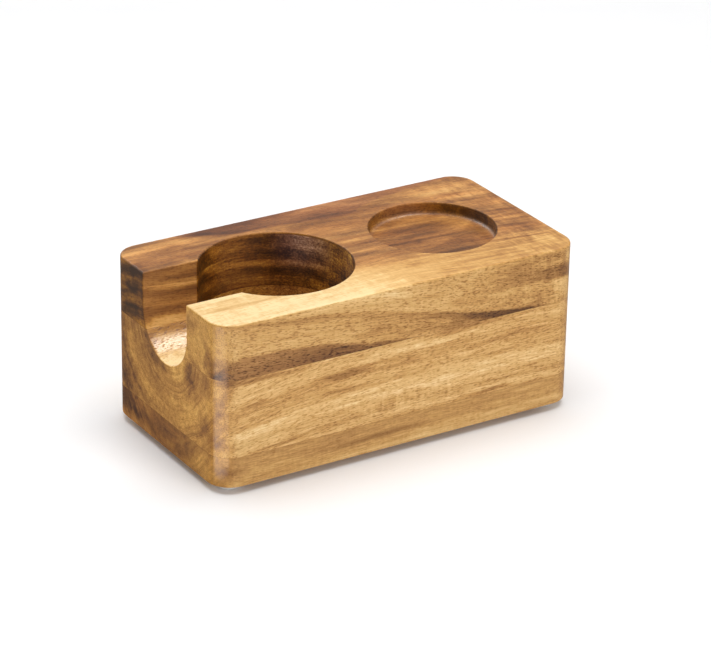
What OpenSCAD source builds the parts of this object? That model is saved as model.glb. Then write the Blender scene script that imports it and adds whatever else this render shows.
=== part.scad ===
// Tamping station: a block laminated from three horizontal wooden boards.
// A deep round pocket takes the basket of a portafilter, a half-round slot lets
// its handle out at one end, and a shallow round recess parks the tamper.
// The block stands on four clear self-adhesive bumper feet.
// Frame: +X along the length, the slot opens at the -X end, -Y is the front,
// +Z is up, and the origin lies on the counter under the middle of the block.

/* [Block] */
// Length of the block along X
block_l = 190; // [186:1:230]
// Width of the block along Y
block_w = 100; // [94:1:130]
// Radius of the four upright corners
corner_r = 11.5; // [6:0.5:14]
// Rounding of the outer edge around the top face
top_ease = 1; // [0.6:0.1:1.4]
// Rounding of the outer edge around the underside
bottom_ease = 0.5; // [0.3:0.1:1]

/* [Boards] */
// Thickness of the top board
top_board_t = 26.7; // [24:0.1:30]
// Thickness of the middle board
middle_board_t = 37.6; // [34:0.1:44]
// Thickness of the base board, which closes the pocket
base_board_t = 14.7; // [10:0.1:20]

/* [Portafilter pocket] */
// Diameter of the pocket
pocket_d = 71; // [66:0.5:74]
// Place of the pocket's axis along X
pocket_x = -37.4; // [-40:0.1:-36]
// Rounding of the pocket's rim
pocket_rim = 0.7; // [0.4:0.1:1]

/* [Handle slot] */
// Width of the slot, and the diameter of its half-round floor
slot_w = 40; // [34:0.5:44]
// Depth of the slot from the top face to the lowest line of its floor
slot_depth = 36.3; // [32:0.1:40]
// Rounding of the slot's edges on the top and end faces
slot_edge = 0.6; // [0.4:0.1:1]
// Width of the bevel along the edge between slot and pocket
mouth_bevel = 0.8; // [0.5:0.1:1.2]

/* [Tamper recess] */
// Diameter of the recess
recess_d = 60; // [54:0.5:62]
// Place of the recess's axis along X
recess_x = 46.5; // [45:0.1:50]
// Depth of the recess
recess_depth = 6; // [4:0.1:10]
// Radius of the fillet around the recess's floor
recess_fillet = 2; // [1:0.1:3]
// Rounding of the recess's rim
recess_rim = 0.6; // [0.4:0.1:1]

/* [Feet] */
// Diameter of a bumper foot where it meets the wood
foot_d = 12.7; // [10:0.1:14]
// Height of a bumper foot with its adhesive
foot_h = 3.5; // [3:0.1:5]
// Inset of a foot's axis from the two faces beside it
foot_inset = 10.3; // [9:0.1:14]
// Thickness of the adhesive disc between foot and wood
adhesive_t = 0.2; // [0.15:0.05:0.4]

/* [Hidden] */
$fn = 96;
// Overshoot of the cutters
k = 1;
// Levels: undersides of the three boards and the top face
z_base = foot_h;
z_middle = z_base + base_board_t;
z_top = z_middle + middle_board_t;
z_face = z_top + top_board_t;
pocket_r = pocket_d / 2;
slot_r = slot_w / 2;
recess_r = recess_d / 2;
// Height of the slot's half-round axis
slot_z = z_face - slot_depth + slot_r;
// Half spans between the centres of the upright corners
span_x = block_l / 2 - corner_r;
span_y = block_w / 2 - corner_r;
// Foot profile: waist radius below the flange and radius of the contact face
foot_r = foot_d / 2;
foot_round = 1.2;
foot_taper = 0.9;
foot_body_h = foot_h - adhesive_t;
// Half spans between the feet
foot_x = block_l / 2 - foot_inset;
foot_y = block_w / 2 - foot_inset;
// Steps along the half-round part of the edge between slot and pocket
mouth_steps = 24;

// Outline of the block in plan
module plan() {
    square([block_l, 2 * span_y], center = true);
    square([2 * span_x, block_w], center = true);
    for (sx = [-1, 1], sy = [-1, 1])
        translate([sx * span_x, sy * span_y]) circle(corner_r);
}

// Plain board of the block's outline between two levels
module board(z0, z1) {
    translate([0, 0, z0]) linear_extrude(z1 - z0) plan();
}

// Section removed to round a convex edge at the origin, material below and left
module ease_section(e) {
    difference() {
        translate([-e, -e]) square(e + k);
        translate([-e, -e]) circle(e, $fn = 48);
    }
}

// Ring of cutters that rounds the outer edge of the block, at level 0, material below
module rim_cutter(e) {
    for (s = [0, 180]) rotate(s) {
        // edge along X on the +Y side
        translate([-span_x, block_w / 2, 0]) rotate([90, 0, 90])
            linear_extrude(2 * span_x) ease_section(e);
        // edge along Y on the +X side
        translate([block_l / 2, span_y, 0]) rotate([90, 0, 0])
            linear_extrude(2 * span_y) ease_section(e);
        // the two round corners on the +X side
        translate([span_x, span_y, 0]) rotate_extrude(angle = 90)
            translate([corner_r, 0]) ease_section(e);
        translate([span_x, -span_y, 0]) rotate([0, 0, -90]) rotate_extrude(angle = 90)
            translate([corner_r, 0]) ease_section(e);
    }
}

// Ring that rounds the rim of a round hole of radius r, at level 0, material outside
module hole_rim_cutter(r, e) {
    rotate_extrude() translate([r, 0]) mirror([1, 0]) ease_section(e);
}

module pocket_cutter() {
    translate([pocket_x, 0, z_middle - k]) cylinder(r = pocket_r, h = z_face - z_middle + 2 * k);
}

module slot_cutter() {
    slot_len = block_l / 2 + pocket_x + k;
    translate([-block_l / 2 - k, -slot_r, slot_z]) cube([slot_len, slot_w, z_face - slot_z + k]);
    translate([-block_l / 2 - k, 0, slot_z]) rotate([0, 90, 0]) cylinder(r = slot_r, h = slot_len);
}

// Rounding of the slot's two long edges on the top face
module slot_top_edges() {
    for (s = [0, 1]) mirror([0, s, 0])
        translate([-block_l / 2 - k, slot_r, z_face]) rotate([90, 0, 90])
            linear_extrude(block_l / 2 + pocket_x - 12) mirror([1, 0]) ease_section(slot_edge);
}

// Rounding of the slot's edge on the end face: two upright lines and the half circle
module slot_end_edge() {
    for (s = [0, 1]) mirror([0, s, 0])
        translate([-block_l / 2, slot_r, slot_z])
            linear_extrude(z_face - slot_z + k) rotate(180) ease_section(slot_edge);
    translate([-block_l / 2, 0, slot_z]) rotate([0, 90, 0]) rotate([0, 0, -90])
        rotate_extrude(angle = 180) translate([slot_r, 0]) rotate(180) ease_section(slot_edge);
}

// Points of the edge between slot and pocket: angle around the slot's axis and lift
function mouth_a(i) = i <= 0 ? -90 : i > mouth_steps ? 90 : -90 + 180 * (i - 1) / (mouth_steps - 1);
function mouth_lift(i) = (i == 0 || i == mouth_steps + 1) ? z_face - slot_z + k : 0;
function mouth_y(i) = slot_r * sin(mouth_a(i));
function mouth_p(i) = [pocket_x - sqrt(pow(pocket_r, 2) - pow(mouth_y(i), 2)), mouth_y(i),
                       slot_z - slot_r * cos(mouth_a(i)) + mouth_lift(i)];
// Directions into the wood, square to the slot's wall and to the pocket's wall
function slot_n(i) = [0, sin(mouth_a(i)), -cos(mouth_a(i))];
function pocket_n(i) = let (p = mouth_p(i)) [p[0] - pocket_x, p[1], 0] / pocket_r;
function unit(v) = v / norm(v);
// Directions along each wall away from the edge
function along_slot(i) = let (a = slot_n(i), b = pocket_n(i)) unit(b - (a * b) * a);
function along_pocket(i) = let (a = slot_n(i), b = pocket_n(i)) unit(a - (a * b) * b);
// Triangle of the bevel's section, run out past both walls
function mouth_ring(i) =
    let (p = mouth_p(i), e = mouth_bevel / sqrt(2),
         q = p + e * along_slot(i), w = p + e * along_pocket(i),
         v = unit(slot_n(i) + pocket_n(i)))
    [q + 0.4 * (q - w), w + 0.4 * (w - q), p - 1.2 * v];

// Bevel along the edge between slot and pocket
module mouth_cutter() {
    n = mouth_steps + 2;
    pts = [for (i = [0 : n - 1]) each mouth_ring(i)];
    polyhedron(points = pts, faces = concat(
        [[0, 1, 2]],
        [for (i = [0 : n - 2], j = [0 : 2]) each
            let (a = 3 * i + j, b = 3 * i + (j + 1) % 3) [[a, a + 3, b], [b, a + 3, b + 3]]],
        [[3 * n - 1, 3 * n - 2, 3 * n - 3]]));
}

// Recess for the tamper, with a fillet around its floor
module recess_cutter() {
    translate([recess_x, 0, z_face - recess_depth]) {
        translate([0, 0, recess_fillet]) cylinder(r = recess_r, h = recess_depth - recess_fillet + k);
        cylinder(r = recess_r - recess_fillet, h = recess_fillet + k / 2);
        translate([0, 0, recess_fillet]) rotate_extrude()
            translate([recess_r - recess_fillet, 0]) circle(recess_fillet, $fn = 48);
    }
}

module top_board() {
    color("#c08a52") difference() {
        board(z_top, z_face);
        pocket_cutter();
        slot_cutter();
        recess_cutter();
        translate([0, 0, z_face]) rim_cutter(top_ease);
        translate([pocket_x, 0, z_face]) hole_rim_cutter(pocket_r, pocket_rim);
        translate([recess_x, 0, z_face]) hole_rim_cutter(recess_r, recess_rim);
        slot_top_edges();
        slot_end_edge();
        mouth_cutter();
    }
}

module middle_board() {
    color("#d0a468") difference() {
        board(z_middle, z_top);
        pocket_cutter();
        slot_cutter();
        slot_end_edge();
        mouth_cutter();
    }
}

module base_board() {
    color("#b8884f") difference() {
        board(z_base, z_middle);
        translate([0, 0, z_base]) mirror([0, 0, 1]) rim_cutter(bottom_ease);
    }
}

// Places at one corner: sx and sy choose the corner
module at_corner(sx, sy) {
    translate([sx * foot_x, sy * foot_y, 0]) children();
}

// Clear bumper: tapered button with a rounded lower edge and a flat contact face
module foot(sx, sy) {
    low_r = foot_r - foot_taper;
    color("#e6e4dc") at_corner(sx, sy) rotate_extrude() union() {
        polygon([[0, 0], [low_r - foot_round, 0], [low_r - foot_round, foot_round],
                 [low_r, foot_round], [foot_r, foot_body_h], [0, foot_body_h]]);
        translate([low_r - foot_round, foot_round])
            intersection() {
                circle(foot_round, $fn = 48);
                translate([0, -foot_round]) square(foot_round);
            }
    }
}

// Adhesive disc that holds a bumper to the base board
module adhesive(sx, sy) {
    color("#d9d4c4") at_corner(sx, sy) translate([0, 0, foot_body_h])
        cylinder(r = foot_r - 0.3, h = adhesive_t);
}

module foot_front_left() { foot(-1, -1); }
module foot_front_right() { foot(1, -1); }
module foot_rear_left() { foot(-1, 1); }
module foot_rear_right() { foot(1, 1); }
module adhesive_front_left() { adhesive(-1, -1); }
module adhesive_front_right() { adhesive(1, -1); }
module adhesive_rear_left() { adhesive(-1, 1); }
module adhesive_rear_right() { adhesive(1, 1); }

top_board();
middle_board();
base_board();
foot_front_left();
foot_front_right();
foot_rear_left();
foot_rear_right();
adhesive_front_left();
adhesive_front_right();
adhesive_rear_left();
adhesive_rear_right();
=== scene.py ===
import math

import bpy
from mathutils import Euler, Matrix, Quaternion, Vector

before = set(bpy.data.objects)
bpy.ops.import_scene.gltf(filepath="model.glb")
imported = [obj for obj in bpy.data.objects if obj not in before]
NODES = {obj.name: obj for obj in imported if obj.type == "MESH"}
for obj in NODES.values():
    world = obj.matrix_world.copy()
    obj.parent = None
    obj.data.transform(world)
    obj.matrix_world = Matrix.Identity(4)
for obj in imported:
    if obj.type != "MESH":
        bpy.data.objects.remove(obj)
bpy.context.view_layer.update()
scene = bpy.context.scene
scene.view_settings.view_transform = "Standard"
scene.view_settings.look = "None"

# ---------------------------------------------------------------- camera
# Looks along +Y turned by the yaw, pitched down, with a small roll.
YAW, PITCH, ROLL = math.radians(32.0924), math.radians(24.8637), math.radians(1.0149)
LENS = 163.17
cam_data = bpy.data.cameras.new("camera")
cam_data.lens = LENS
cam_data.sensor_width = 36.0
cam = bpy.data.objects.new("camera", cam_data)
scene.collection.objects.link(cam)
ahead = Vector((math.sin(YAW) * math.cos(PITCH), math.cos(YAW) * math.cos(PITCH), -math.sin(PITCH)))
right0 = Vector((math.cos(YAW), -math.sin(YAW), 0.0))
up0 = right0.cross(ahead)
right = right0 * math.cos(ROLL) + up0 * math.sin(ROLL)
up = up0 * math.cos(ROLL) - right0 * math.sin(ROLL)
cam.matrix_world = Matrix(
    (
        (right.x, up.x, -ahead.x, -0.713908),
        (right.y, up.y, -ahead.y, -1.147004),
        (right.z, up.z, -ahead.z, 0.666262),
        (0, 0, 0, 1),
    )
)
cam_data.clip_start, cam_data.clip_end = 0.01, 100.0
scene.camera = cam


# ---------------------------------------------------------------- node building
class Tree:
    """A material's node tree, built with short calls. Values are numbers or sockets."""

    def __init__(self, name):
        self.mat = bpy.data.materials.new(name)
        self.mat.use_nodes = True
        self.nt = self.mat.node_tree
        self.nt.nodes.clear()

    def node(self, kind, **props):
        n = self.nt.nodes.new(kind)
        for key, value in props.items():
            setattr(n, key, value)
        return n

    def put(self, sock, value):
        if isinstance(value, bpy.types.NodeSocket):
            self.nt.links.new(value, sock)
        elif value is not None:
            sock.default_value = value

    def math(self, op, a, b=None, c=None, clamp=False):
        n = self.node("ShaderNodeMath", operation=op, use_clamp=clamp)
        for sock, value in zip(n.inputs, (a, b, c)):
            self.put(sock, value)
        return n.outputs[0]

    def add(self, *terms):
        total = terms[0]
        for term in terms[1:]:
            total = self.math("ADD", total, term)
        return total

    def sub(self, a, b):
        return self.math("SUBTRACT", a, b)

    def mul(self, a, b):
        return self.math("MULTIPLY", a, b)

    def mad(self, a, b, c):
        return self.math("MULTIPLY_ADD", a, b, c)

    def vec(self, op, a, b=None, c=None):
        n = self.node("ShaderNodeVectorMath", operation=op)
        for sock, value in zip(n.inputs, (a, b, c)):
            self.put(sock, value)
        return n.outputs["Value" if op in ("LENGTH", "DOT_PRODUCT", "DISTANCE") else "Vector"]

    def split(self, v):
        n = self.node("ShaderNodeSeparateXYZ")
        self.put(n.inputs[0], v)
        return n.outputs[0], n.outputs[1], n.outputs[2]

    def join(self, x, y, z):
        n = self.node("ShaderNodeCombineXYZ")
        for sock, value in zip(n.inputs, (x, y, z)):
            self.put(sock, value)
        return n.outputs[0]

    def span(self, x, a, b, lo=0.0, hi=1.0, smooth=True):
        """x from a..b to lo..hi, held at the ends."""
        n = self.node("ShaderNodeMapRange", interpolation_type="SMOOTHSTEP" if smooth else "LINEAR", clamp=True)
        for sock, value in zip(n.inputs[:5], (x, a, b, lo, hi)):
            self.put(sock, value)
        return n.outputs[0]

    def noise(self, v, detail=0.0, rough=0.5, colour=False, distort=0.0):
        """Signed noise, about -1..1. colour gives three of them as a vector."""
        n = self.node("ShaderNodeTexNoise", noise_dimensions="3D")
        self.put(n.inputs["Vector"], v)
        n.inputs["Scale"].default_value = 1.0
        n.inputs["Detail"].default_value = detail
        n.inputs["Roughness"].default_value = rough
        n.inputs["Distortion"].default_value = distort
        if colour:
            return self.vec("MULTIPLY_ADD", n.outputs[1], (2.0, 2.0, 2.0), (-1.0, -1.0, -1.0))
        return self.mad(n.outputs[0], 2.0, -1.0)

    def noise1(self, w, detail=0.0, rough=0.5):
        n = self.node("ShaderNodeTexNoise", noise_dimensions="1D")
        self.put(n.inputs["W"], w)
        n.inputs["Scale"].default_value = 1.0
        n.inputs["Detail"].default_value = detail
        n.inputs["Roughness"].default_value = rough
        return self.mad(n.outputs[0], 2.0, -1.0)

    def curve(self, x, points, x0, x1, y0, y1):
        """A smooth curve through points, over x0..x1, with values in y0..y1."""
        n = self.node("ShaderNodeFloatCurve")
        self.put(n.inputs["Value"], self.span(x, x0, x1, smooth=False))
        c = n.mapping.curves[0]
        pts = [((px - x0) / (x1 - x0), (py - y0) / (y1 - y0)) for px, py in points]
        c.points[0].location = pts[0]
        c.points[1].location = pts[-1]
        for p in pts[1:-1]:
            c.points.new(*p)
        n.mapping.update()
        return self.mad(n.outputs[0], y1 - y0, y0)

    def ramp(self, x, stops):
        n = self.node("ShaderNodeValToRGB")
        e = n.color_ramp.elements
        while len(e) < len(stops):
            e.new(0.5)
        for el, (at, col) in zip(e, stops):
            el.position = at
        for el, (at, col) in zip(e, stops):
            el.color = (*col, 1.0)
        self.put(n.inputs[0], x)
        return n.outputs[0]

    def mix(self, fac, a, b, blend="MIX"):
        n = self.node("ShaderNodeMix", data_type="RGBA", blend_type=blend)
        self.put(n.inputs["Factor"], fac)
        self.put(n.inputs[6], a if isinstance(a, bpy.types.NodeSocket) else (*a, 1.0))
        self.put(n.inputs[7], b if isinstance(b, bpy.types.NodeSocket) else (*b, 1.0))
        return n.outputs[2]

    def lens(self, q, at, half, soft=0.7, turn=(0, 0, 0), uneven=None):
        """1 inside an ellipsoid at a place, with half sizes, falling to 0 at its edge."""
        if any(turn):
            axes = Euler([math.radians(a) for a in turn]).to_matrix().col
            away = self.vec("SUBTRACT", q, at)
            place = self.join(*[self.vec("DOT_PRODUCT", away, axes[i] / half[i]) for i in range(3)])
        else:
            place = self.vec("MULTIPLY_ADD", q, [1 / h for h in half], [-a / h for a, h in zip(at, half)])
        far = self.vec("LENGTH", place)
        if uneven is not None:
            far = self.add(far, uneven)
        return self.span(far, 1.0, 1.0 - soft)


# Darkness to colour: sapwood cream, golden tan, brown, dark heartwood
WOOD_STOPS = [
    (0.00, (0.900, 0.660, 0.330)),
    (0.12, (0.770, 0.485, 0.190)),
    (0.28, (0.600, 0.325, 0.097)),
    (0.36, (0.480, 0.240, 0.070)),
    (0.45, (0.375, 0.178, 0.049)),
    (0.55, (0.275, 0.120, 0.032)),
    (0.68, (0.170, 0.070, 0.020)),
    (0.80, (0.095, 0.038, 0.012)),
    (1.00, (0.040, 0.016, 0.008)),
]


class Board:
    """Shared parts of a board's wood: warped coordinates, fibre, pores, colour and finish."""

    def __init__(self, name, seed):
        self.t = t = Tree(name)
        self.seed = seed
        co = t.node("ShaderNodeTexCoord")
        mm = t.vec("MULTIPLY", co.outputs["Object"], (1000.0, 1000.0, 1000.0))
        x, self.y, z = t.split(mm)
        self.u = t.math("ADD", x, 95.0)  # from the slot end
        self.v = t.math("SUBTRACT", 82.5, z)  # down from the top face
        self.q0 = t.join(self.u, self.y, self.v)
        nx, ny, nz = t.split(co.outputs["Normal"])
        side = t.math("ABSOLUTE", nx)
        self.end = t.span(side, 0.35, 0.98)  # how much a face shows end grain
        self.butt = t.span(side, 0.88, 0.995)
        self.turned = t.span(side, 0.10, 0.75)  # the same, reaching further round the corners
        # eased edges, sanded duller than the faces
        rim = t.mul(t.span(self.v, 1.25, 0.9), t.span(nz, 0.985, 0.93))
        arris = t.mul(t.span(self.u, 0.8, 0.55), t.span(side, 0.985, 0.93))
        self.edge = t.math("MAXIMUM", rim, arris)
        self.up = t.span(nz, 0.30, 0.85)  # how much it faces up
        self.flank = t.span(t.math("ABSOLUTE", ny), 0.90, 0.99)  # long sides, less polished
        # slow wander and fine waviness of the grain, across the fibres only
        slow = t.noise(self.scaled(self.q0, (1 / 95, 1 / 34, 1 / 34), 1.0), 1.0, colour=True)
        fine = t.noise(self.scaled(self.q0, (1 / 22, 1 / 6, 1 / 6), 2.0), 2.0, colour=True)
        self.q = t.vec("MULTIPLY_ADD", slow, (0.0, 2.4, 2.0), self.q0)
        self.q = t.vec("MULTIPLY_ADD", fine, (0.0, 0.7, 0.7), self.q)
        self.uw, self.yw, self.vw = t.split(self.q)
        self.uneven = t.mul(t.noise(self.scaled(self.q0, (1 / 16, 1 / 4.5, 1 / 4.5), 18.0), 2.0, 0.6), 0.30)
        # inside the portafilter's pocket
        axis = t.vec("LENGTH", t.join(t.sub(self.u, 57.6), self.y, 0.0))
        self.bore = t.mul(t.mul(t.span(axis, 36.3, 35.7), t.span(self.v, 0.4, 1.2)), t.span(self.v, 66.0, 64.8))
        # fillet around the recess's floor, hard to sand
        cup = t.vec("LENGTH", t.join(t.sub(self.u, 141.5), self.y, 0.0))
        self.fillet = t.mul(t.mul(t.span(cup, 26.5, 28.0), t.span(cup, 30.8, 30.2)), t.mul(t.span(self.v, 2.6, 3.6), t.span(self.v, 8.0, 7.0)))
        self.wobble = t.noise(self.scaled(self.q0, (1 / 70, 1 / 12, 1 / 12), 15.0), 2.0, 0.55)

    def scaled(self, q, k, n):
        """Coordinates scaled per axis and moved to a place of their own."""
        s = self.seed * 17.3 + n * 5.71
        return self.t.vec("MULTIPLY_ADD", q, k, (s, s * 0.7 + 3.1, s * 1.3 + 7.7))

    def lenses(self, dark, places, where=None):
        for at, half, turn, amount in places:
            spot = self.t.lens(self.q, at, half, 0.85, turn, self.uneven)
            if where is not None:
                spot = self.t.mul(spot, where)
            dark = self.t.mad(spot, amount, dark)
        return dark

    def finish(self, dark, fibre, rings, red=0.0, purple=0.0, pale=0.0, pores=1.0, threads=1.0, run=9.0, lines=1.0, curl=0.0, end_grain_and_painted_shade=0.15, glue=(), sheen=None, haze=0.0, warm=0.0, olive=0.0, arcs=0.10):
        """fibre: coordinates with the grain straightened. rings: ring coordinate in mm."""
        t = self.t
        along = t.mad(self.end, -0.3, 1.0)
        f1 = t.noise(self.scaled(fibre, (1 / 42, 1 / 2.3, 1 / 2.3), 3.0), 2.0, 0.6)
        f2 = t.mul(t.noise(self.scaled(fibre, (1 / run, 1 / 0.62, 1 / 0.62), 4.0), 1.0, 0.55), along)
        ripple = t.noise(self.scaled(fibre, (1 / 1.1, 1 / 3.6, 1 / 3.6), 8.0), 1.0)
        waves = t.noise(self.scaled(fibre, (1 / 5.0, 1 / 15.0, 1 / 15.0), 9.0), 1.0)
        r2 = t.noise1(t.mad(rings, 1 / 2.3, self.seed * 3.0), 1.0)
        r3 = t.noise1(t.mad(rings, 1 / 0.8, self.seed * 5.0), 1.0)
        fade = t.span(t.noise(self.scaled(fibre, (1 / 30, 1 / 9, 1 / 9), 5.0), 1.0), -0.35, 0.35)
        line = t.mul(t.mul(t.add(t.mul(r2, 0.09), t.mul(r3, 0.05)), t.mad(self.end, 0.25, fade)), lines)
        smudge = t.mul(t.noise(self.scaled(self.q0, (1 / 9, 1 / 4, 1 / 3), 16.0), 3.0, 0.65), t.mul(self.end, 0.07))
        # growth rings on the end grain: each darkens slowly and stops at a sharp edge
        uneven = t.noise1(t.mad(rings, 1 / 11.0, self.seed * 9.0), 1.0)
        saw = t.math("FRACT", t.mad(uneven, 1.1, t.mul(rings, 1 / 3.3)))
        late = t.sub(t.mul(t.mul(saw, saw), saw), 0.25)
        r4 = t.noise1(t.mad(rings, 1 / 0.42, self.seed * 7.0))
        growth = t.mul(t.add(t.mul(late, arcs), t.mul(r4, 0.05)), t.mul(self.end, t.mad(fade, 0.7, 0.3)))
        dark = t.add(dark, t.mul(f1, 0.11), t.mul(f2, 0.15 * threads), t.mul(ripple, 0.05), line, smudge, growth)
        if not isinstance(curl, float) or curl > 0.0:
            bars = t.noise(self.scaled(fibre, (1 / 1.4, 1 / 7.0, 1 / 7.0), 20.0), 1.0)
            dark = t.mad(t.mad(bars, 0.6, waves), curl, dark)
        # end grain darker, partly its own colour and partly painted shade: the ends and, through the turned mask, the
        # vertical corners are darkened where they face away from the light
        dark = t.add(dark, t.mul(t.mad(self.turned, 0.4, t.mul(self.end, 0.6)), end_grain_and_painted_shade))
        hair = t.noise(self.scaled(self.q0, (1 / 26, 1 / 13, 1 / 0.9), 17.0), 2.0, 0.65)
        grit = t.noise(self.scaled(self.q0, (1 / 2.2, 1 / 2.2, 1 / 0.55), 19.0), 2.0, 0.6)
        sand = t.mul(t.noise(self.scaled(self.q0, (1 / 1.0, 1 / 1.0, 1 / 0.8), 21.0), 1.0, 0.6), t.mad(self.turned, 0.20, 0.11))
        reed = t.mul(t.noise(self.scaled(self.q0, (1 / 3.0, 1 / 1.1, 1 / 13), 22.0), 1.0), t.span(self.u, 82.0, 91.0, 0.0, 0.12))
        dark = t.mad(t.add(t.mul(grit, 0.14), t.mul(hair, 0.18), sand, reed), self.bore, dark)
        # vessels: short dark dashes along the grain, dots on the end grain
        vor = t.node("ShaderNodeTexVoronoi", voronoi_dimensions="3D", feature="F1")
        t.put(vor.inputs["Vector"], self.scaled(fibre, (1 / 3.4, 1 / 0.66, 1 / 0.66), 6.0))
        vor.inputs["Scale"].default_value = 1.0
        pick, size, _ = t.split(vor.outputs["Color"])
        crowd = t.span(t.noise(self.scaled(fibre, (1 / 24, 1 / 5, 1 / 5), 7.0), 1.0), -0.4, 0.4, 0.40, 0.95)
        there = t.math("LESS_THAN", pick, crowd)
        hole = t.mul(t.span(vor.outputs["Distance"], t.mad(size, 0.16, 0.30), 0.12), there)
        specks = t.span(t.noise(self.scaled(fibre, (1 / 2.2, 1 / 0.44, 1 / 0.44), 10.0), 0.0), 0.16, 0.46)
        hole = t.mul(t.mul(t.math("MAXIMUM", hole, t.mul(specks, 0.7)), along), pores)
        dark = t.mad(hole, 0.28, dark)
        for level in glue:
            near = t.math("ABSOLUTE", t.sub(self.v, level))
            dark = t.mad(t.span(near, 0.30, 0.05), 0.10, dark)
        colour = t.ramp(dark, WOOD_STOPS)
        if isinstance(purple, bpy.types.NodeSocket):
            purple = t.mul(purple, t.sub(1.0, self.turned))
        # tints; the haze tint greys the colour, a painted grey sheen on the pocket's right wall
        for fac, tint in ((red, (1.08, 0.88, 0.76)), (purple, (0.98, 0.92, 1.20)), (pale, (1.0, 1.06, 1.14)), (warm, (1.04, 0.97, 0.82)), (haze, (1.0, 1.2, 4.5)), (olive, (1.0, 0.96, 0.35))):
            if isinstance(fac, bpy.types.NodeSocket):
                colour = t.mix(t.math("ADD", fac, 0.0, clamp=True), colour, t.mix(1.0, colour, tint, "MULTIPLY"))
        colour = t.mix(self.end, colour, t.mix(1.0, colour, (1.02, 0.975, 0.64), "MULTIPLY"))
        shade = t.mul(t.span(self.y, -14.0, 6.0), t.sub(1.0, t.mul(t.span(self.u, 66.0, 82.0), t.span(self.y, 6.0, 15.0))))
        colour = t.mix(t.mul(self.bore, shade), colour, t.mix(1.0, colour, (1.02, 0.985, 0.62), "MULTIPLY"))
        rough = t.add(t.mad(f2, 0.05, 0.31), t.mul(hole, 0.25), t.mul(self.butt, 0.55), t.mul(self.edge, 0.5), t.mul(self.flank, 0.25), t.mul(self.fillet, 0.14))
        if sheen is not None:
            rough = t.mad(sheen, -0.05, rough)
        bump = t.node("ShaderNodeBump")
        bump.inputs["Strength"].default_value = 0.5
        bump.inputs["Distance"].default_value = 0.00015
        t.put(bump.inputs["Height"], t.add(t.mul(hole, -1.0), t.mul(f2, 0.30), t.mul(ripple, 0.15)))
        sh = t.node("ShaderNodeBsdfPrincipled")
        t.put(sh.inputs["Base Color"], colour)
        t.put(sh.inputs["Roughness"], rough)
        t.put(sh.inputs["Normal"], bump.outputs[0])
        sh.inputs["Specular IOR Level"].default_value = 0.31
        out = t.node("ShaderNodeOutputMaterial")
        t.nt.links.new(sh.outputs[0], out.inputs["Surface"])
        return t.mat


def ring_distance(b, y, v, y0, v0):
    t = b.t
    return t.mad(b.wobble, 2.0, t.vec("LENGTH", t.join(0.0, t.sub(y, y0), t.sub(v, v0))))


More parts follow.
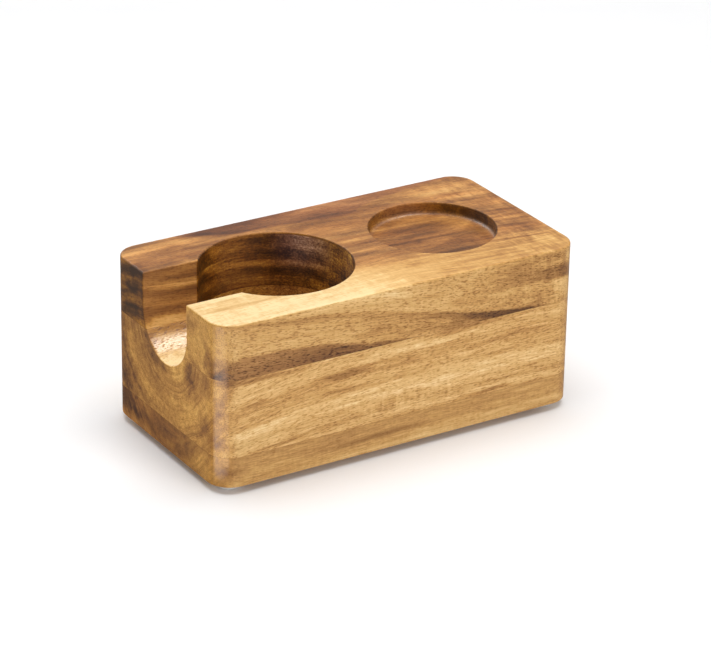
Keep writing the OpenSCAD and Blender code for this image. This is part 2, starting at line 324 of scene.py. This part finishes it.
def top_board_material():
    b = Board("wood_top_board", 1.0)
    t = b.t
    vs = t.mad(b.uw, -0.10, b.vw)  # the grain dips away from the slot end
    drift = t.curve(b.uw, [(0, 0.0), (75, 0.0), (105, 1.5), (130, 4.5), (160, 8.5), (190, 12.8)], 0, 190, 0, 15)  # and drifts to the front
    yg = t.add(b.yw, drift)
    fibre = t.join(b.uw, yg, vs)
    rings = ring_distance(b, yg, vs, 19.0, 60.0)
    inward = t.math("ADD", b.yw, 50.0)
    # heartwood behind a wandering boundary, pale sapwood along the front
    edge = t.noise(b.scaled(b.q0, (1 / 55, 1 / 10, 1 / 10), 11.0), 2.0)
    heart = t.span(t.add(t.mul(edge, 5.0), b.yw, t.mul(drift, 0.35), t.span(b.u, 18.0, 70.0, -13.0, 0.0)), -33.0, -14.0)
    skin = t.mul(t.mul(b.up, t.span(b.v, 2.5, 1.2)), t.sub(1.0, heart))
    bands = t.curve(
        rings,
        [(30, 0.0), (34.8, -0.10), (39.3, 0.16), (42, 0.04), (45.2, -0.09), (49.7, 0.17), (52, 0.0), (54.2, -0.09),
         (57.2, 0.13), (60, 0.03), (63, -0.07), (66, 0.07), (70, -0.08), (74, 0.05), (78, -0.04), (86, 0.0)],
        25.0, 100.0, -0.4, 0.4,
    )
    streaky = t.noise(b.scaled(fibre, (1 / 120, 1 / 5.0, 1 / 5.0), 12.0), 3.0, 0.65)
    dark = t.add(t.mad(heart, 0.29, 0.20), t.mul(bands, t.mad(heart, 0.65, 0.15)), t.mul(streaky, t.mad(heart, 0.20, 0.05)))
    # dark layers of the heartwood on the slot end
    strata = t.noise(b.scaled(t.join(b.u, b.y, t.mad(b.y, -0.16, b.v)), (1 / 20, 1 / 15, 1 / 1.1), 23.0), 2.0, 0.6)
    dark = t.mad(t.mul(strata, t.mul(b.butt, heart)), 0.20, dark)
    mottle = t.noise(b.scaled(b.q0, (1 / 8, 1 / 3.5, 1 / 6), 25.0), 3.0, 0.65)
    dark = t.mad(t.mul(t.mad(mottle, 0.16, 0.02), b.butt), t.sub(1.0, heart), dark)
    thin = t.noise(b.scaled(fibre, (1 / 50, 1 / 1.2, 1 / 1.2), 24.0), 1.0, 0.6)
    dark = t.mad(t.mul(thin, t.mul(skin, t.span(b.u, 70.0, 105.0))), 0.13, dark)
    # the top of the front strip: paler at the left, more golden towards the right
    dark = t.add(dark, t.mul(skin, t.span(b.uw, 40.0, 150.0, -0.17, 0.06)))
    # dark heart streak that runs out along the lower edge of the front
    ragged = t.noise(b.scaled(fibre, (1 / 6, 1 / 0.9, 1 / 0.9), 14.0), 1.0)
    limit = t.curve(b.uw, [(0, 15.6), (12, 15.4), (25, 15.9), (41.7, 18.0), (55, 20.3), (66.7, 22.7), (78, 24.7), (97, 26.6), (130, 29.5), (190, 35.0)], 0, 190, 0, 40)
    below = t.add(t.sub(t.sub(b.vw, limit), t.mul(inward, 1.2)), t.mul(ragged, 1.3))
    streak_a = t.curve(below, [(-4, 0.0), (-1.2, 0.0), (0.4, 0.45), (1.5, 0.64), (3.5, 0.72), (5.5, 0.85), (8, 0.9), (10, 0.76), (12, 0.70)], -4, 12, 0, 1)
    weight_a = t.curve(b.uw, [(0, 0.36), (14, 0.29), (26, 0.31), (40, 0.38), (55, 0.47), (72, 0.55), (90, 0.54), (110, 0.38), (190, 0.2)], 0, 190, 0, 0.6)
    dark = t.add(dark, t.mul(streak_a, weight_a))
    # thin streak above it: a sharp upper edge, fading downwards
    line_b = t.curve(b.uw, [(0, -2.0), (31, 3.2), (60, 7.5), (78, 11.0), (100, 16.0), (119, 20.0), (137, 23.6), (162, 26.2), (190, 29.5)], 0, 190, -5, 35)
    under = t.add(t.sub(t.sub(b.vw, line_b), t.mul(inward, 0.8)), t.mul(ragged, 1.1))
    shape_b = t.curve(under, [(-6, 0.0), (-2.2, 0.0), (-0.4, 0.85), (0.9, 0.80), (2.8, 0.42), (6, 0.26), (12, 0.14), (20, 0.0)], -6, 20, 0, 1)
    weight_b = t.curve(b.uw, [(0, 0.06), (30, 0.11), (60, 0.14), (100, 0.19), (125, 0.31), (138, 0.52), (156, 0.54), (168, 0.30), (190, 0.18)], 0, 190, 0, 0.6)
    dark = t.add(dark, t.mul(t.mul(shape_b, weight_b), t.span(b.yw, -30.0, -44.0)))
    # dark wedge along the back edge of the top
    reach = t.curve(b.uw, [(0, -8), (26, -1.5), (38, 5), (50, 9.5), (60, 12.5), (80, 13.5), (100, 17), (114, 18), (126, 13), (142, 8), (165, 4), (190, 2)], 0, 190, -10, 25)
    wedge = t.mul(t.span(t.add(reach, t.mul(ragged, 0.8), t.math("SUBTRACT", b.yw, 50.0), t.mul(b.vw, -0.9)), -0.6, 2.4), t.span(b.v, 24.0, 12.0))
    weight_w = t.curve(b.uw, [(0, 0.2), (45, 0.22), (78, 0.21), (100, 0.13), (125, 0.10), (150, 0.05), (190, 0.05)], 0, 190, 0, 0.4)
    dark = t.add(dark, t.mul(wedge, t.mad(streaky, -0.09, weight_w)))
    dark = b.lenses(dark, (
        # top face, left of the pocket and behind it
        ((20, 42, 0), (34, 7.0, 6), (0, 0, 0), -0.23),
        ((38, 38, 0), (14, 5.0, 6), (0, 0, -8), -0.13),
        ((18, 33, 2), (20, 4.2, 8), (0, 0, 3), 0.10),
        ((18, 28.5, 0), (26, 2.0, 8), (0, 0, 3), -0.05),
        ((14, 23, 2), (22, 3.4, 8), (0, 0, 6), 0.10),
        ((108, 50, 0), (34, 6.5, 6), (0, 0, 0), -0.17),
        ((114, 43, 0), (34, 8.0, 6), (0, 0, -3), -0.10),
        ((32, 36, 0), (13, 3.0, 6), (0, 0, -4), -0.10),
        ((22, 29, 0), (20, 6.0, 6), (0, 0, 0), 0.07),
        ((86, 30, 0), (8, 6.0, 6), (0, 0, 0), 0.12),
        ((94, 29.5, 0), (17, 4.5, 6), (0, 0, -2), 0.11),
        ((46, 43, 0), (16, 5.0, 6), (0, 0, -14), 0.14),
        ((29, 23, 0), (10, 3.5, 6), (0, 0, 0), 0.13),
        ((88, 43, 0), (22, 7.0, 6), (0, 0, -2), -0.13),
        # right of the pocket and around the recess
        ((171, 37, 0), (34, 8.5, 8), (0, 0, -5), -0.23),
        ((177, 24.5, 0), (18, 4.0, 8), (0, 0, -8), -0.20),
        ((172, 20.0, 0), (20, 1.8, 8), (0, 0, -8), 0.13),
        ((183, 9, 0), (11, 4.0, 8), (0, 0, -9), -0.16),
        ((180, 2, 0), (18, 2.2, 8), (0, 0, -10), 0.11),
        ((172, -0.5, 0), (9, 2.6, 8), (0, 0, -10), 0.13),
        ((182, -8.5, 0), (13, 3.0, 8), (0, 0, -9), -0.17),
        ((177, -16.0, 0), (17, 2.4, 8), (0, 0, -11), 0.19),
        ((173, -25.8, 0), (18, 1.6, 6), (0, 0, -9), -0.10),
        ((172, -29.6, 0), (22, 1.4, 6), (0, 0, -9), 0.16),
        ((101, 22, 0), (13, 4.0, 8), (0, 0, -3), 0.06),
        ((103, 13, 0), (14, 3.0, 8), (0, 0, -2), 0.13),
        ((104, 5.5, 0), (14, 3.2, 8), (0, 0, -2), -0.15),
        ((103, 0.2, 0), (14, 2.0, 8), (0, 0, -2), 0.15),
        ((103, -6.5, 0), (14, 3.6, 8), (0, 0, -2), -0.13),
        ((99, -15, 0), (20, 5.0, 5), (0, 0, -2), -0.08),
        ((132, -27.0, 0), (26, 1.6, 5), (0, 0, -5), 0.13),
        ((158, -35.5, 0), (40, 1.7, 5), (0, 0, -6), 0.13),
        ((148, -42, 0), (40, 1.4, 3), (0, 0, -5), 0.10),
        ((112, -32, 0), (34, 5.0, 5), (0, 0, -3), 0.06),
        ((176, -33, 0), (18, 6.0, 5), (0, 0, -6), 0.05),
        ((184, 46, 0), (12, 3.0, 8), (0, 0, 0), 0.14),
        ((14, 47, 0), (20, 5, 5), (0, 0, 0), 0.08),
        ((46, 47, 0), (11, 5, 5), (0, 0, 0), 0.09),
        ((77, 47, 0), (10, 5, 5), (0, 0, 0), -0.09),
        ((58, 39, 0), (10, 5, 5), (0, 0, 0), 0.08),
        ((143, 39, 0), (14, 5, 5), (0, 0, -4), 0.09),
        ((161, 31, 0), (9, 5, 5), (0, 0, -5), -0.11),
        ((185, 28, 0), (9, 8, 5), (0, 0, -5), -0.09),
        ((18, 23, 0), (12, 5, 5), (0, 0, 0), 0.09),
        ((124, -25, 0), (10, 4.5, 5), (0, 0, -4), -0.11),
        ((112, -33, 0), (9, 5, 5), (0, 0, -4), 0.09),
        ((112, -17, 0), (8, 5, 5), (0, 0, -4), 0.09),
        ((154, -41, 0), (14, 5, 4), (0, 0, -5), 0.08),
        ((172, -39, 0), (9, 7, 4), (0, 0, -5), -0.08),
        # front strip
        ((20, -32, 0), (36, 2.2, 3), (0, 0, -1), 0.13),
        ((30, -30, 0), (54, 8.0, 3), (0, 0, 0), 0.08),
        ((16, -25.5, 0), (26, 2.6, 3), (0, 0, -1), 0.07),
        ((88, -44, 0), (22, 4.0, 3), (0, 0, -1), -0.05),
        ((72, -50, 1), (40, 8.0, 5.5), (0, 0, 0), -0.10),
        # floor of the recess
        ((143, 1.4, 6), (32, 1.9, 3), (0, 0, -6.3), 0.20),
        ((152, 5.0, 6), (22, 1.3, 3), (0, 0, -3), -0.04),
        ((148, 13, 6), (22, 7.0, 3), (0, 0, -4), 0.11),
        ((149, 21, 6), (16, 1.4, 3), (0, 0, -10), 0.12),
        ((125, 22, 6), (9, 7.0, 3), (0, 0, -8), -0.10),
        ((156, -5, 6), (18, 4.5, 3), (0, 0, -6), 0.10),
        ((136, -9, 6), (26, 6.0, 3), (0, 0, -6), 0.04),
        ((148, -17.5, 6), (24, 3.0, 3), (0, 0, -6), 0.10),
        ((137, 0, 7), (36, 36, 2.6), (0, 0, 0), 0.09),
        ((153, 17, 6), (14, 6.0, 3), (0, 0, -6), 0.12),
        ((149, 6, 6), (13, 5, 3), (0, 0, -6), 0.12),
        ((153, -9, 6), (14, 5, 3), (0, 0, -6), 0.10),
        ((146, -17, 6), (20, 6, 3), (0, 0, -6), 0.08),
        # long front side
        ((118, -50, 25.5), (16, 8, 2.4), (0, 0, 0), 0.16),
        ((94, -50, 22.5), (26, 10, 4.0), (0, 6, 0), 0.07),
        ((158, -50, 9), (38, 14, 8), (0, 0, 0), 0.12),
        ((164, -50, 2), (30, 8, 4), (0, 0, 0), 0.08),
        ((163, -50, 8), (30, 8, 9), (0, 0, 0), 0.05),
        ((154, -50, 21), (36, 8, 9), (0, 2, 0), 0.11),
        ((90, -50, 5), (18, 6, 6), (0, 0, 0), -0.06),
        ((182, -50, 10.5), (22, 14, 5.0), (0, 0, 0), 0.24),
        ((188, -50, 13.5), (20, 14, 2.4), (0, 0, 0), 0.18),
        # painted shade: the right vertical corner darkened where it turns away from the light
        ((192, -48, 13), (8, 12, 40), (0, 0, 0), 0.13),
        ((172, -50, 25.5), (24, 10, 4.5), (0, 0, 0), 0.10),
        ((130, -50, 14.5), (18, 10, 6), (0, 3, 0), 0.11),
        ((175, -50, 3), (9, 8, 4), (0, 0, 0), 0.11),
        ((3, -50, 18), (9, 10, 3.5), (0, 0, 0), 0.13),
        ((78, -50, 20.5), (17, 10, 4.5), (0, 6, 0), 0.12),
        ((106, -50, 24), (13, 10, 3), (0, 5, 0), 0.09),
        # slot's back wall
        ((14, 20, 0.6), (32, 8, 1.1), (0, 1, 0), 0.08),
        ((14, 20, 3.2), (32, 8, 1.3), (0, 1, 0), -0.07),
        ((14, 20, 6.3), (32, 8, 1.5), (0, 2, 0), 0.08),
        ((14, 20, 10.5), (32, 8, 2.6), (0, 2, 0), -0.10),
        ((16, 20, 16.6), (32, 8, 2.8), (0, 2, 0), 0.07),
        ((14, 19, 25.4), (36, 9, 5.2), (0, 0, 0), -0.26),
        # slot end
        ((0, 27, 2.6), (7, 16, 2.6), (9, 0, 0), 0.16),
        ((0, 26, 10.0), (7, 16, 2.8), (10, 0, 0), 0.08),
        ((0, 27, 7.4), (7, 12, 2.2), (12, 0, 0), 0.22),
        ((0, 27, 0.8), (7, 10, 1.8), (6, 0, 0), 0.12),
        ((0, 40, 13.4), (7, 9, 2.6), (8, 0, 0), -0.22),
        ((0, 30, 19.8), (7, 14, 1.7), (9, 0, 0), 0.18),
        ((0, 20, 24.0), (7, 6, 3.2), (0, 0, 0), 0.20),
        ((0, 28, 15.6), (7, 16, 1.8), (9, 0, 0), -0.05),
        ((0, 30, 26.0), (7, 18, 2.4), (6, 0, 0), -0.10),
        ((0, -47, 22), (8, 14, 12), (0, 0, 0), 0.16),
        ((0, -24, 6), (8, 7, 5), (0, 0, 0), 0.16),
        ((0, -27, 26), (8, 9, 4), (0, 0, 0), 0.12),
        ((0, -39, 19), (8, 6, 10), (0, 0, 0), 0.17),
        ((0, -43, 25), (8, 6, 4), (0, 0, 0), 0.20),
        ((0, 36, 13.6), (7, 7, 2.2), (8, 0, 0), -0.12),
    ))
    dark = b.lenses(dark, (
        ((28, 22, 12), (16, 16, 34), (0, 0, 0), 0.12),
        ((46, 30, 9.8), (24, 14, 0.7), (0, 0, 0), -0.20),
        ((46, 30, 14.8), (30, 14, 0.8), (0, 0, 0), -0.13),
        ((71, 33, 7), (17, 14, 10), (0, 0, 0), 0.24),
        ((85, 23, 3), (12, 14, 9), (0, 0, 0), -0.16),
        ((78, 30, 22), (16, 14, 8), (0, 0, 0), 0.14),
        ((91, 9, 6), (14, 24, 22), (0, 0, 0), -0.22),
        ((57, 35, 40), (60, 40, 44), (0, 0, 0), 0.05),
        ((37, 29, 1), (8, 9, 6), (0, 0, 0), 0.14),
        ((71, 33, 1), (13, 10, 6), (0, 0, 0), 0.10),
        ((79, 28, 8), (10, 10, 5), (0, 0, 0), 0.13),
        ((86, 21, 13), (10, 13, 4), (0, 0, 0), -0.13),
        ((66, 34, 18), (9, 10, 4), (0, 0, 0), 0.15),
        ((83, 25, 21), (10, 13, 5), (0, 0, 0), -0.13),
        ((90, 15, 25), (9, 13, 6), (0, 0, 0), -0.18),
        ((93, -4, 4), (9, 10, 11), (0, 0, 0), -0.12),
        ((47, 34, 23), (10, 10, 5), (0, 0, 0), 0.10),
        ((92.5, -9, 4), (7, 8, 9), (0, 0, 0), -0.12),
    ), b.bore)
    hue = t.noise(b.scaled(fibre, (1 / 80, 1 / 6.0, 1 / 6.0), 13.0), 1.0)
    slot = t.lens(b.q, (12, 20, 13), (40, 8, 22), 0.4)
    red = t.mul(t.mul(heart, t.mad(hue, 0.6, 0.55)), t.mul(t.mad(slot, -0.85, 1.0), t.mad(b.end, -0.8, 1.0)))
    dark = t.mad(slot, -0.06, dark)
    # painted sheen: a grey tint on the pocket's right wall where a satin reflection shows
    painted_grey_sheen = t.mul(t.lens(b.q, (85, 22, 5), (20, 22, 19), 0.8), b.bore)
    purple = t.math("MAXIMUM", t.mul(streak_a, 0.4), t.mul(wedge, 0.9))
    curl = t.mad(skin, 0.07, t.mul(t.span(b.u, 145.0, 182.0), 0.20))
    gold = t.mul(skin, t.span(b.u, 50.0, 100.0, 0.0, 0.45))
    pale = t.mul(skin, t.span(b.u, 110.0, 50.0, 0.0, 0.6))
    return b.finish(dark, fibre, rings, red, purple, pale, pores=t.mad(streak_a, 0.5, t.mul(t.mad(heart, -0.40, 0.88), t.mad(skin, -0.7, 1.0))), threads=0.8, run=13.0, lines=t.mad(heart, 0.6, 0.4),
                    curl=curl, end_grain_and_painted_shade=t.mad(heart, 0.18, 0.08), glue=(26.7,), haze=painted_grey_sheen, warm=t.math("MAXIMUM", slot, gold), olive=t.mul(t.mul(b.turned, heart), t.mad(b.bore, -0.6, 1.0)), arcs=0.08)


def middle_board_material():
    b = Board("wood_middle_board", 2.0)
    t = b.t
    lift = t.curve(b.uw, [(0, 7.5), (12, 5.4), (25, 3.4), (40, 1.6), (55, 0.5), (72, 0.0), (190, 0.0)], 0, 190, -1, 9)  # the grain rises from the slot end
    vs = t.sub(b.vw, lift)
    fibre = t.join(b.uw, b.yw, vs)
    rings = ring_distance(b, b.yw, vs, -3.0, 14.0)
    bands = t.curve(
        rings,
        [(6, -0.10), (16, -0.10), (22, -0.04), (27, 0.05), (31, 0.04), (35, 0.0), (38, -0.07), (41, -0.09), (44, -0.02), (46.5, 0.06), (48.6, -0.06), (50.0, -0.06), (51.9, 0.06),
         (54.0, 0.0), (55.6, 0.05), (57.2, -0.05), (59.8, -0.10), (62.0, -0.05), (64.5, 0.02), (67.0, -0.04), (68.4, 0.05), (72, 0.0)],
        4.0, 80.0, -0.3, 0.3,
    )
    streaky = t.noise(b.scaled(fibre, (1 / 90, 1 / 4.0, 1 / 4.0), 12.0), 2.0, 0.6)
    dark = t.add(0.205, bands, t.mul(streaky, 0.11))
    # darker heart around the pocket
    heart = t.lens(b.q, (76, 16, 38), (56, 52, 40), 0.6)
    dark = t.mad(heart, 0.24, dark)
    dark = b.lenses(dark, (
        ((8, -50, 28.3), (48, 12, 2.2), (0, 0, 0), 0.17),
        ((20, -50, 27.6), (36, 10, 2.2), (0, 0, 0), 0.10),
        # painted shade: the right vertical corner darkened where it turns away from the light
        ((192, -48, 45), (8, 12, 40), (0, 0, 0), 0.10),
        ((106, -50, 31.5), (50, 12, 2.2), (0, 0, 0), -0.10),
        ((127, -50, 28.2), (32, 10, 3.0), (0, 0, 0), 0.20),
        ((14, -50, 40), (12, 8, 4.0), (0, 0, 0), 0.08),
        ((147, -50, 53), (10, 8, 2.5), (0, 0, 0), 0.07),
        ((136, -50, 62.8), (22, 10, 2.5), (0, 0, 0), 0.10),
        ((146, -50, 38), (20, 10, 2.2), (0, 0, 0), 0.07),
        ((64, -50, 36), (20, 14, 3.4), (0, 0, 0), 0.17),
        ((105, -50, 37.5), (36, 14, 2.4), (0, 0, 0), 0.06),
        ((164, -50, 37.5), (26, 12, 1.8), (0, 0, 0), 0.07),
        ((62, -50, 43), (20, 12, 1.2), (0, 0, 0), 0.10),
        ((140, -50, 42), (50, 12, 3.0), (0, 0, 0), -0.07),
        ((168, -50, 27.6), (30, 12, 2.0), (0, 0, 0), 0.06),
        ((170, -50, 55.5), (30, 12, 1.4), (0, 0, 0), 0.08),
        ((28, -50, 62.5), (22, 10, 1.2), (0, 3, 0), 0.12),
        ((146, -50, 62.5), (12, 10, 1.8), (0, 0, 0), 0.19),
        ((146, -50, 33), (26, 10, 2.8), (0, 0, 0), -0.09),
        ((134, -50, 38.5), (13, 10, 2.4), (0, 0, 0), 0.09),
        ((18, -50, 38), (11, 10, 2.8), (0, 0, 0), 0.08),
        ((3, -50, 43.5), (9, 10, 3.2), (0, 0, 0), 0.15),
        ((4, -50, 53), (9, 10, 3), (0, 0, 0), -0.12),
        ((4, -50, 59.5), (9, 10, 4), (0, 0, 0), 0.12),
        # slot end: knot below the slot's front side, darker towards the back
        ((0, -24, 31), (9, 8, 8), (25, 0, 0), 0.16),
        ((0, -22, 29), (6, 4, 3.0), (0, 0, 0), 0.10),
        ((0, 6, 45), (6, 4, 2.5), (0, 0, 0), 0.08),
        ((0, 17, 32), (6, 5, 6), (35, 0, 0), 0.12),
        ((0, 44, 46), (10, 14, 22), (0, 0, 0), 0.12),
        ((0, 37, 44), (10, 8, 34), (0, 0, 0), 0.11),
        ((0, 36, 29), (10, 14, 8), (0, 0, 0), 0.12),
        ((0, 13, 32), (7, 4, 7), (30, 0, 0), 0.22),
        ((0, 28, 59), (10, 20, 9), (0, 0, 0), 0.12),
        ((0, -20, 34), (8, 5, 7), (0, 0, 0), 0.12),
        ((0, -20, 49), (10, 14, 7), (0, 0, 0), -0.12),
        ((0, 0, 61), (10, 22, 5), (0, 0, 0), 0.12),
        ((0, 42, 60), (10, 18, 10), (0, 0, 0), 0.16),
        ((0, -46, 56), (10, 12, 12), (0, 0, 0), 0.06),
        ((0, -38, 32), (8, 7, 9), (0, 0, 0), 0.13),
        ((0, -35, 53), (8, 9, 9), (0, 0, 0), 0.14),
        ((0, -6, 52), (8, 10, 5.5), (0, 0, 0), -0.11),
        ((0, 28, 51), (8, 9, 8), (0, 0, 0), 0.16),
        ((0, -24, 37.5), (8, 6, 4), (0, 0, 0), 0.13),
        # slot's floor
        ((14, 17, 28.4), (34, 8, 3.4), (0, 0, 0), 0.20),
        ((14, -4, 37), (34, 14, 4.5), (0, 0, 0), -0.24),
    ))
    dark = b.lenses(dark, (
        ((84, 24, 30), (16, 20, 5), (0, 0, 0), -0.16),
        ((90, 12, 36), (14, 24, 12), (0, 0, 0), -0.14),
        ((87, 18, 28), (11, 15, 5), (0, 0, 0), -0.12),
        ((30, 22, 34), (16, 16, 10), (0, 0, 0), 0.12),
    ), b.bore)
    # end grain just under the slot's floor
    dark = t.mad(t.mul(t.lens(b.q, (0, 4, 37), (30, 20, 7), 0.8), b.butt), 0.20, dark)
    dark = t.mad(t.mul(t.lens(b.q, (0, 2, 37.5), (30, 14, 3.5), 0.8), b.butt), 0.14, dark)
    fleck = t.lens(b.q, (14, 8, 31), (40, 16, 9), 0.4)
    pale = t.mul(t.lens(b.q, (14, -2, 35), (40, 16, 7), 0.6), t.sub(1.0, b.turned))
    pale = t.math("MAXIMUM", pale, t.mul(b.flank, t.span(b.v, 53.0, 59.0, 0.0, 0.5)))
    red = t.add(t.span(rings, 61.0, 65.0, 0.05, 0.12), t.mul(heart, 0.3))
    curl = t.mul(t.lens(b.q, (95, -50, 57), (44, 16, 7), 0.8), 0.16)
    return b.finish(dark, fibre, rings, red, pale=pale, pores=t.mad(fleck, 0.2, 0.75), sheen=fleck, threads=1.2, curl=curl, end_grain_and_painted_shade=0.19, glue=(26.7, 64.3))


def base_board_material():
    b = Board("wood_base_board", 3.0)
    t = b.t
    fibre = b.q
    rings = ring_distance(b, b.yw, b.vw, -3.0, 45.0)
    bands = t.curve(
        rings,
        [(15, 0.10), (20, 0.06), (25, 0.12), (29, 0.02), (33, 0.10), (37, 0.0), (42, 0.06), (47, -0.04), (51, 0.0), (54, -0.02), (58, -0.05), (64, 0.02)],
        10.0, 70.0, -0.3, 0.3,
    )
    streaky = t.noise(b.scaled(fibre, (1 / 90, 1 / 4.0, 1 / 4.0), 12.0), 3.0, 0.6)
    dark = t.add(0.325, bands, t.mul(streaky, 0.06))
    dark = b.lenses(dark, (
        ((78, -50, 71.4), (46, 8, 2.2), (0, 0, 0), 0.16),
        ((130, -50, 74), (50, 8, 2.0), (0, 0, 0), -0.07),
        ((100, -50, 78), (100, 8, 2.4), (0, 0, 0), -0.08),
        ((0, -50, 71), (18, 10, 4.2), (0, 0, 0), 0.22),
        ((0, 10, 72), (18, 34, 6.5), (0, 0, 0), 0.16),
        ((0, 40, 69), (16, 22, 11), (0, 0, 0), 0.26),
        ((0, 37, 70), (14, 12, 10), (0, 0, 0), 0.10),
        ((0, -34, 72), (12, 12, 11), (0, 0, 0), -0.10),
        ((0, -20, 69), (12, 3.0, 9), (-35, 0, 0), 0.14),
        ((0, 27, 66), (3, 2.4, 1.6), (0, 0, 0), 0.18),
        ((0, -3, 65), (12, 19, 2.6), (0, 0, 0), 0.13),
        ((0, 27, 74), (12, 10, 4), (0, 0, 0), 0.13),
        ((0, -13, 74), (10, 6, 3.5), (0, 0, 0), 0.13),
        ((54, -50, 68), (26, 8, 3.4), (0, 0, 0), 0.05),
    ))
    red = t.span(b.y, -30.0, 10.0, 0.0, 0.35)
    return b.finish(dark, fibre, rings, red, pale=t.mul(b.flank, 0.5), pores=0.35, threads=0.8, end_grain_and_painted_shade=0.10, glue=(64.3,))


def bumper_material():
    t = Tree("clear_bumper")
    co = t.node("ShaderNodeTexCoord")
    mm = t.vec("MULTIPLY", co.outputs["Object"], (1000.0, 1000.0, 1000.0))
    haze = t.noise(t.vec("MULTIPLY", mm, (0.9, 0.9, 0.9)), 3.0)
    sh = t.node("ShaderNodeBsdfPrincipled")
    t.put(sh.inputs["Base Color"], t.ramp(t.mad(haze, 0.5, 0.5), [(0.2, (0.95, 0.95, 0.94)), (0.8, (0.98, 0.98, 0.975))]))
    t.put(sh.inputs["Roughness"], t.mad(haze, 0.06, 0.22))
    sh.inputs["IOR"].default_value = 1.49
    sh.inputs["Transmission Weight"].default_value = 0.15
    out = t.node("ShaderNodeOutputMaterial")
    t.nt.links.new(sh.outputs[0], out.inputs["Surface"])
    return t.mat


def adhesive_material():
    t = Tree("adhesive_film")
    co = t.node("ShaderNodeTexCoord")
    mm = t.vec("MULTIPLY", co.outputs["Object"], (1000.0, 1000.0, 1000.0))
    haze = t.noise(t.vec("MULTIPLY", mm, (1.4, 1.4, 1.4)), 3.0)
    sh = t.node("ShaderNodeBsdfPrincipled")
    t.put(sh.inputs["Base Color"], t.ramp(t.mad(haze, 0.5, 0.5), [(0.2, (0.62, 0.56, 0.44)), (0.8, (0.76, 0.71, 0.60))]))
    t.put(sh.inputs["Roughness"], t.mad(haze, 0.08, 0.45))
    out = t.node("ShaderNodeOutputMaterial")
    t.nt.links.new(sh.outputs[0], out.inputs["Surface"])
    return t.mat


def wear(node, mat):
    mesh = NODES[node].data
    mesh.materials.clear()
    mesh.materials.append(mat)


wear("top_board", top_board_material())
wear("middle_board", middle_board_material())
wear("base_board", base_board_material())
bumper, film = bumper_material(), adhesive_material()
for name in NODES:
    if name.startswith("foot_"):
        wear(name, bumper)
    elif name.startswith("adhesive_"):
        wear(name, film)

# ---------------------------------------------------------------- floor and light
def floor():
    me = bpy.data.meshes.new("floor")
    s = 6.0
    me.from_pydata([(-s, -s, 0), (s, -s, 0), (s, s, 0), (-s, s, 0)], [], [(0, 1, 2, 3)])
    o = bpy.data.objects.new("floor", me)
    scene.collection.objects.link(o)
    t = Tree("floor_paper")
    co = t.node("ShaderNodeTexCoord")
    grain = t.noise(t.vec("MULTIPLY", co.outputs["Object"], (9.0, 9.0, 9.0)), 2.0)
    sh = t.node("ShaderNodeBsdfPrincipled")
    t.put(sh.inputs["Base Color"], t.ramp(t.mad(grain, 0.5, 0.5), [(0.0, (0.90, 0.90, 0.905)), (1.0, (0.92, 0.92, 0.925))]))
    sh.inputs["Roughness"].default_value = 0.9
    sh.inputs["Specular IOR Level"].default_value = 0.1
    # the sweep behind the object is lit by itself
    sh.inputs["Emission Color"].default_value = (1.0, 1.0, 1.0, 1.0)
    t.put(sh.inputs["Emission Strength"], t.span(t.vec("LENGTH", co.outputs["Object"]), 0.5, 2.6, 0.0, 0.62))
    out = t.node("ShaderNodeOutputMaterial")
    t.nt.links.new(sh.outputs[0], out.inputs["Surface"])
    me.materials.append(t.mat)
    o.visible_glossy = False


def softbox(name, at, aim, size, power, shape="RECTANGLE", turn=0.0, gloss_only=False, colour=(1.0, 1.0, 1.0)):
    data = bpy.data.lights.new(name, "AREA")
    data.shape = shape
    data.size, data.size_y = size
    data.energy = power
    data.color = colour
    o = bpy.data.objects.new(name, data)
    scene.collection.objects.link(o)
    o.location = at
    o.rotation_mode = "QUATERNION"
    o.rotation_quaternion = Quaternion((0, 0, 1), turn) @ (Vector(aim) - Vector(at)).to_track_quat("-Z", "Y")
    o.visible_camera = False
    o.visible_diffuse = not gloss_only


floor()
world = bpy.data.worlds.new("studio")
scene.world = world
world.use_nodes = True
world.node_tree.nodes["Background"].inputs["Color"].default_value = (1.0, 1.0, 1.0, 1.0)
world.node_tree.nodes["Background"].inputs["Strength"].default_value = 0.40
softbox("overhead", (0.05, 0.05, 1.45), (0.0, 0.0, 0.04), (1.6, 1.3), 21.0)
softbox("front", (0.25, -1.5, 0.55), (0.0, 0.0, 0.04), (0.9, 0.7), 5.2)
softbox("side", (-1.35, -0.05, 0.80), (0.0, 0.0, 0.05), (0.7, 0.7), 1.0)
# lights for highlights: over the slot's floor, low down for the near corner, behind for the recess's fillet
softbox("slot_gloss", (0.515, -0.077, 1.14), (-0.08, 0.008, 0.048), (0.80, 0.34), 16.5, gloss_only=True, colour=(0.92, 0.96, 1.0))
softbox("corner_gloss", (-0.236, -0.095, 0.002), (-0.236, -0.095, 1.0), (0.28, 0.12), 0.60, "ELLIPSE", math.atan2(0.33, 0.94), True, (0.90, 0.95, 1.0))
softbox("recess_gloss", (-0.30, 0.80, 0.86), (0.0465, 0.0, 0.078), (0.85, 0.70), 20.0, gloss_only=True)
